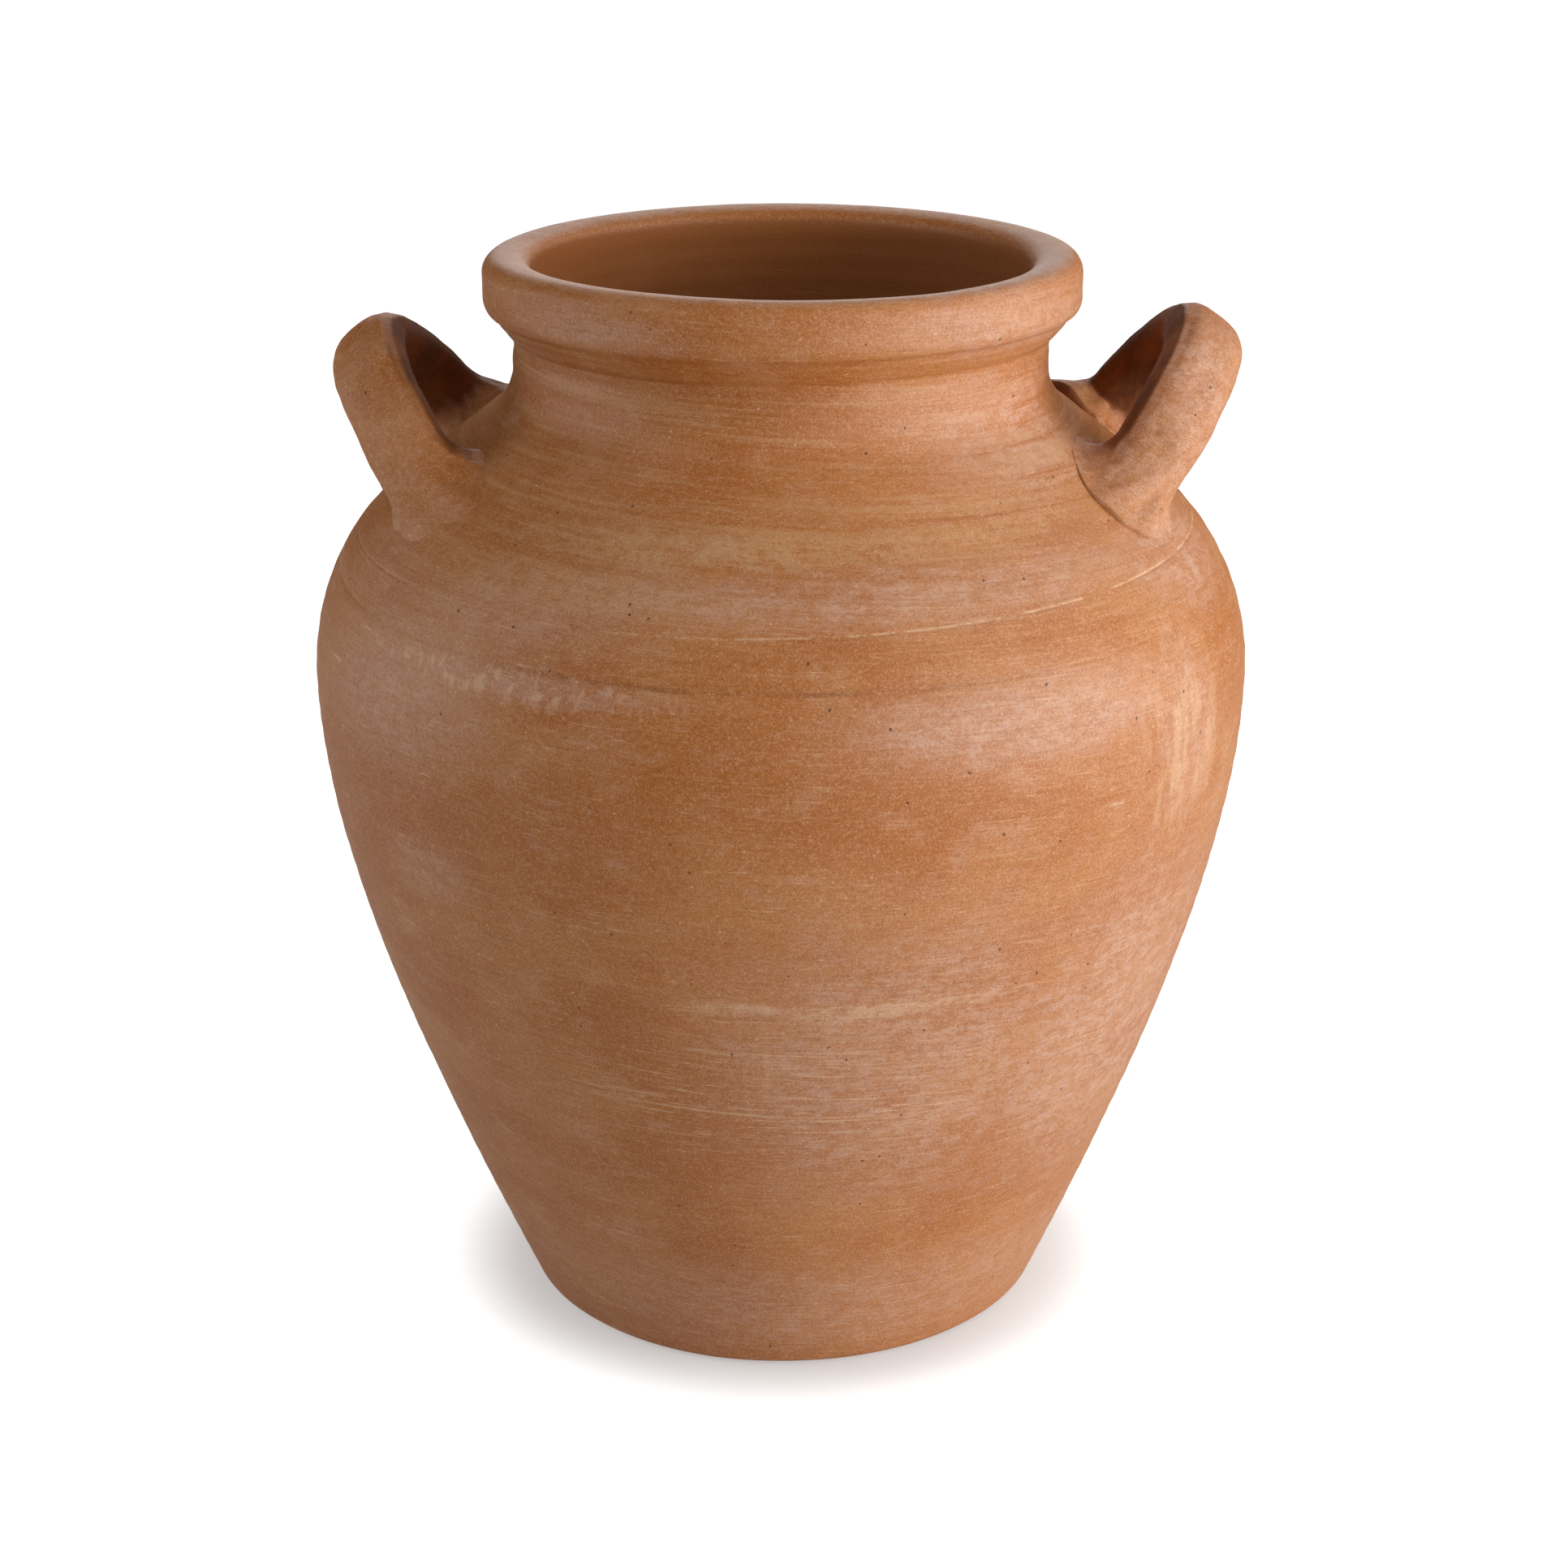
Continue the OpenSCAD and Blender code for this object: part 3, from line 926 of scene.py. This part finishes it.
def dabs_and_streaks(c, colour):
    """Dabs of a brush on the left of the join, and streaks that ran down on the right and at the middle."""
    dab = c.noise(c.moved(0.0, 0.0, 300.0), (3.2, 3.2, 9), 3, 0.5)
    dabbed = c.times(c.mark(-34, 281, 24, 6, 1.0, 0.8), c.ramp(dab, 0.50, 0.60, 0.0, 0.55))
    colour = c.tint(dabbed, colour, CREAM)
    run_down = c.noise(c.place, (7, 7, 36), 6, 0.68)
    running = c.times(c.mark(54, 250, 10, 40, 1.0), c.ramp(run_down, 0.46, 0.62, 0.0, 0.5))
    drips = c.most(c.mark(-2.1, 149, 0.5, 20, 0.14, 0.9), c.mark(-4.8, 144, 0.4, 18, 0.10, 0.9))
    return c.tint(c.most(running, drips), colour, CREAM)


def long_scratches(c, colour):
    """A patch of long scratches low on the front, and a pale smear over it."""
    scratch = c.ramp(c.noise(c.wiped, (42, 42, 0.9), 2, 0.5), 0.60, 0.67)
    scratch = c.times(scratch, c.mark(0, 132, 34, 28, 0.55))
    smear = c.most(c.mark(-6, 173, 7, 3.5, 0.5, 1.0), c.mark(13, 171, 16, 3.5, 0.45, 1.2))
    smear = c.times(smear, c.ramp(c.cloud, 0.40, 0.55, 0.2, 1.0))
    return c.tint(c.most(scratch, smear), colour, CREAM)


def fibres(c, colour):
    """Scratches and fibres, light and dark, from wiping."""
    scratched = c.ramp(c.medium, 0.45, 0.62, 0.0, 0.7)
    if c.wall:
        scratched = c.most(scratched, c.mark(0, 134, 32, 26, 1.0))
    scratched = c.times(scratched, c.ramp(c.z, 290, 330, 1.0, 0.3))
    colour = c.tint(c.times(c.ramp(c.scratch, 0.63, 0.70), scratched), colour, CREAM)
    colour = c.tint(c.ramp(c.fibre, 0.55, 0.72, 0.0, 0.2), colour, CREAM)
    return c.tint(c.ramp(c.fibre, 0.45, 0.28, 0.0, 0.2), colour, DEEP)


def turned_marks(c, colour):
    """The broken pale line that was cut round the shoulder, and the dark join under it."""
    from_line = c.math("ABSOLUTE", c.over_plane(LINE_PLANE))
    from_seam = c.math("ABSOLUTE", c.over_plane(SEAM_PLANE))
    gaps = c.ramp(c.noise(c.place, 7, 4, 0.65), 0.44, 0.57, 0.0, 0.8)
    broken = c.times(gaps, c.ramp(c.around, -50, 30, 0.25, 1.0))
    colour = c.tint(c.times(c.ramp(from_line, 0.5, 0.12), broken), colour, CREAM)
    shown = c.times(c.ramp(c.medium, 0.4, 0.6, 0.2, 0.75), c.mark(-8, 286, 38, 30, 1.0))
    return c.tint(c.times(c.ramp(from_seam, 1.5, 0.1), shown), colour, DEEP)


def rim_top(c, colour):
    """Dust on the flat of the rim, and bare clay where the lip turns down into the throat."""
    upward = c.ramp(c.to_xyz(c.normal)["Z"], 0.72, 0.98)
    dust = c.times(upward, c.ramp(c.z, 392, 398), c.ramp(c.cloud, 0.36, 0.6, 0.1, 0.6))
    colour = c.tint(dust, colour, BLOOM_AND_HIGHLIGHT)
    worn = c.times(c.ramp(c.vector("LENGTH", c.level), 95.5, 91.5), c.ramp(c.z, 387, 394))
    return c.tint(c.times(worn, c.ramp(c.cloud, 0.3, 0.6, 0.5, 0.9)), colour, RAW)


def specks_and_pits(c, colour):
    """The colour with grain, sand, cream specks and dark pits, and where the pits are."""
    colour = c.tint(c.ramp(c.grit, 0.50, 0.72, 0.0, 0.34), colour, CREAM)
    colour = c.tint(c.ramp(c.grit, 0.48, 0.28, 0.0, 0.34), colour, DEEP)
    colour = c.tint(c.ramp(c.grain, 0.5, 0.75, 0.0, 0.7), colour, CREAM)
    colour = c.tint(c.ramp(c.grain, 0.48, 0.25, 0.0, 0.6), colour, PIT_AND_SHADE)
    speck, speck_random = c.cells(c.place, 4.2)
    specks = c.times(c.ramp(speck, 0.13, 0.07), c.math("GREATER_THAN", speck_random, 0.8))
    pit, pit_random = c.cells(c.moved(50.0, 20.0, 9.0), 6.5)
    pits = c.times(c.ramp(pit, 0.10, 0.05), c.math("GREATER_THAN", pit_random, 0.82))
    colour = c.tint(c.times(specks, 0.7), colour, CREAM)
    return c.tint(c.times(pits, 0.85), colour, PIT_AND_SHADE), pits


def painted_inner_shade(c, colour):
    """The colour with painted shade where the surface faces the jar's middle, inside the jar and inside the
    handles' arches, and how much it faces it.
    """
    facing = c.vector("DOT_PRODUCT", c.normal, c.vector("NORMALIZE", c.level))
    if c.wall:
        # Painted shade on the jar's inner wall
        inside = c.ramp(facing, -0.80, -0.98, 0.0, 0.85)
        return c.tint(inside, colour, DEEP), inside
    # Painted shade inside the handles' arches, darker still in patches
    inside = c.ramp(facing, 0.0, -0.6, 0.0, 0.95)
    colour = c.tint(inside, colour, DEEP)
    patchy_shade = c.ramp(c.medium, 0.62, 0.42, 0.35, 0.8)
    return c.tint(c.times(inside, patchy_shade), colour, PIT_AND_SHADE), inside


def rough_skin(c, pits):
    """Bump of the grain, fibres and mottle, with the pits sunk into it."""
    height = c.plus(c.times(c.grain, 0.6), c.times(c.fibre, 0.5))
    height = c.plus(height, c.times(c.cloud, 0.5))
    height = c.minus(height, c.times(pits, 1.5))
    return c.add("ShaderNodeBump", {"Height": height, "Strength": 1.0, "Distance": 0.0002}).outputs[0]


def clay(name, wall=True):
    """Terracotta of the thrown wall, or of a handle."""
    c = Clay(name, wall)
    colour, dust_and_highlight = add_bloom_and_highlight(c, tones(c))
    if wall:
        colour = brushed_bands(c, colour)
        colour = dabs_and_streaks(c, colour)
        colour = long_scratches(c, colour)
    colour = fibres(c, colour)
    if wall:
        colour = turned_marks(c, colour)
        colour = rim_top(c, colour)
    colour, pits = specks_and_pits(c, colour)
    # Painted shade inside the jar and inside the handles' arches
    colour, inside = painted_inner_shade(c, colour)
    dull = c.ramp(dust_and_highlight, 0.0, 0.8, 0.50 if wall else 0.58, 0.64)
    shader = c.add(
        "ShaderNodeBsdfPrincipled",
        {
            "Base Color": colour,
            "Roughness": c.most(dull, c.times(inside, 0.95)),
            "Normal": rough_skin(c, pits),
        },
    )
    c.add("ShaderNodeOutputMaterial", {"Surface": shader.outputs[0]})
    return c.material


body_clay = clay("body_clay")
rim_clay = clay("rim_clay")
handle_clay = clay("handle_clay", wall=False)

for node, piece in turned.items():
    is_rim = node == "rim_ring"
    piece.data.materials.append(rim_clay if is_rim else body_clay)
    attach(piece, "root")
    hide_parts(node)
for side, piece in handles.items():
    piece.data.materials.append(handle_clay)
    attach(piece, "root")
    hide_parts(f"{side}_handle", f"{side}_front_root_pad", f"{side}_back_root_pad")

# ---- Studio, in metres ----
FLOOR_R = 60.0
FLOOR_CORNERS = 64
# The floor's glow, where it begins and is full away from the jar's axis, and what the camera sees added
# there; the weaker glow near the axis is a painted contact shadow
FLOOR_GLOW = 0.17
GLOW_FROM, GLOW_FULL = 0.100, 0.150
SEEN_NEAR, SEEN_FAR = 0.20, 0.83
# The world's light on the jar, and as the camera sees it
WORLD_LIGHT, WORLD_SEEN = 0.02, 1.0

floor_mesh = bpy.data.meshes.new("studio_floor")
floor_turns = np.linspace(0, 2 * math.pi, FLOOR_CORNERS, endpoint=False)
ring = [(FLOOR_R * math.cos(a), FLOOR_R * math.sin(a), 0) for a in floor_turns]
floor_mesh.from_pydata(ring, [], [tuple(range(len(ring)))])
floor = bpy.data.objects.new("studio_floor", floor_mesh)
bpy.context.scene.collection.objects.link(floor)
# The floor looks white beyond the contact shadow, which is partly painted, and yet throws little light back
# at the jar
white = Graph("studio_white")
away = white.vector("LENGTH", white.add("ShaderNodeTexCoord").outputs["Object"])
seen = white.add("ShaderNodeLightPath").outputs["Is Camera Ray"]
# Less glow within GLOW_FULL of the axis paints a contact shadow round the foot
seen_glow = white.times(seen, white.ramp(away, GLOW_FROM, GLOW_FULL, SEEN_NEAR, SEEN_FAR))
white_shader = white.add(
    "ShaderNodeBsdfPrincipled",
    {
        "Base Color": (0.5, 0.5, 0.5, 1.0),
        "Roughness": 0.9,
        "Emission Color": (1.0, 1.0, 1.0, 1.0),
        "Emission Strength": white.plus(FLOOR_GLOW, seen_glow),
    },
)
white.add("ShaderNodeOutputMaterial", {"Surface": white_shader.outputs[0]})
floor_mesh.materials.append(white.material)

# Softboxes: azimuth, elevation, power in watts
LAMPS = {
    "key": (75, 6, 19.0),
    "key_front": (50, 6, 17.0),
    "high_right": (60, 50, 7.3),
    "high_left": (-60, 50, 6.3),
    "fill_left": (-92, 12, 8.6),
    "back_right": (122, 40, 6.0),
    "back": (180, 20, 6.5),
    "front": (15, 10, 2.4),
}
LAMP_DISTANCE = 1.8
LAMP_SIDE = 1.0
LAMP_AIM = Vector((0, 0, 0.2))


def aim(thing, target):
    """Turns a lamp or a camera to look at a place."""
    thing.rotation_euler = (target - thing.location).to_track_quat("-Z", "Y").to_euler()


def softbox(name, azimuth_deg, elevation, power):
    """A square lamp that shines on the jar."""
    data = bpy.data.lights.new(name, "AREA")
    data.size = LAMP_SIDE
    data.energy = power
    lamp = bpy.data.objects.new(name, data)
    a, e = math.radians(azimuth_deg), math.radians(elevation)
    direction = Vector((math.sin(a) * math.cos(e), -math.cos(a) * math.cos(e), math.sin(e)))
    lamp.location = LAMP_AIM + direction * LAMP_DISTANCE
    bpy.context.scene.collection.objects.link(lamp)
    aim(lamp, LAMP_AIM)


for name, place in LAMPS.items():
    softbox(name, *place)

# The studio's walls are bright to look at but light the jar little
world = bpy.data.worlds.new("studio")
world.use_nodes = True
backdrop = world.node_tree.nodes["Background"]
backdrop.inputs["Color"].default_value = (1, 1, 1, 1)
seen = world.node_tree.nodes.new("ShaderNodeLightPath")
glow = world.node_tree.nodes.new("ShaderNodeMapRange")
glow.inputs["To Min"].default_value = WORLD_LIGHT
glow.inputs["To Max"].default_value = WORLD_SEEN
world.node_tree.links.new(seen.outputs["Is Camera Ray"], glow.inputs["Value"])
world.node_tree.links.new(glow.outputs[0], backdrop.inputs["Strength"])
bpy.context.scene.world = world
bpy.context.scene.view_settings.view_transform = "Standard"

# ---- Camera ----
CAMERA_PLACE = Vector((0, -1.0815, 0.58445))
CAMERA_TARGET = Vector((0, 0, 0.19496))
SENSOR_WIDTH_MM = 36
LENS_MM = 68.83

camera_data = bpy.data.cameras.new("camera")
camera_data.sensor_width = SENSOR_WIDTH_MM
camera_data.lens = LENS_MM
camera = bpy.data.objects.new("camera", camera_data)
camera.location = CAMERA_PLACE
bpy.context.scene.collection.objects.link(camera)
aim(camera, CAMERA_TARGET)
bpy.context.scene.camera = camera
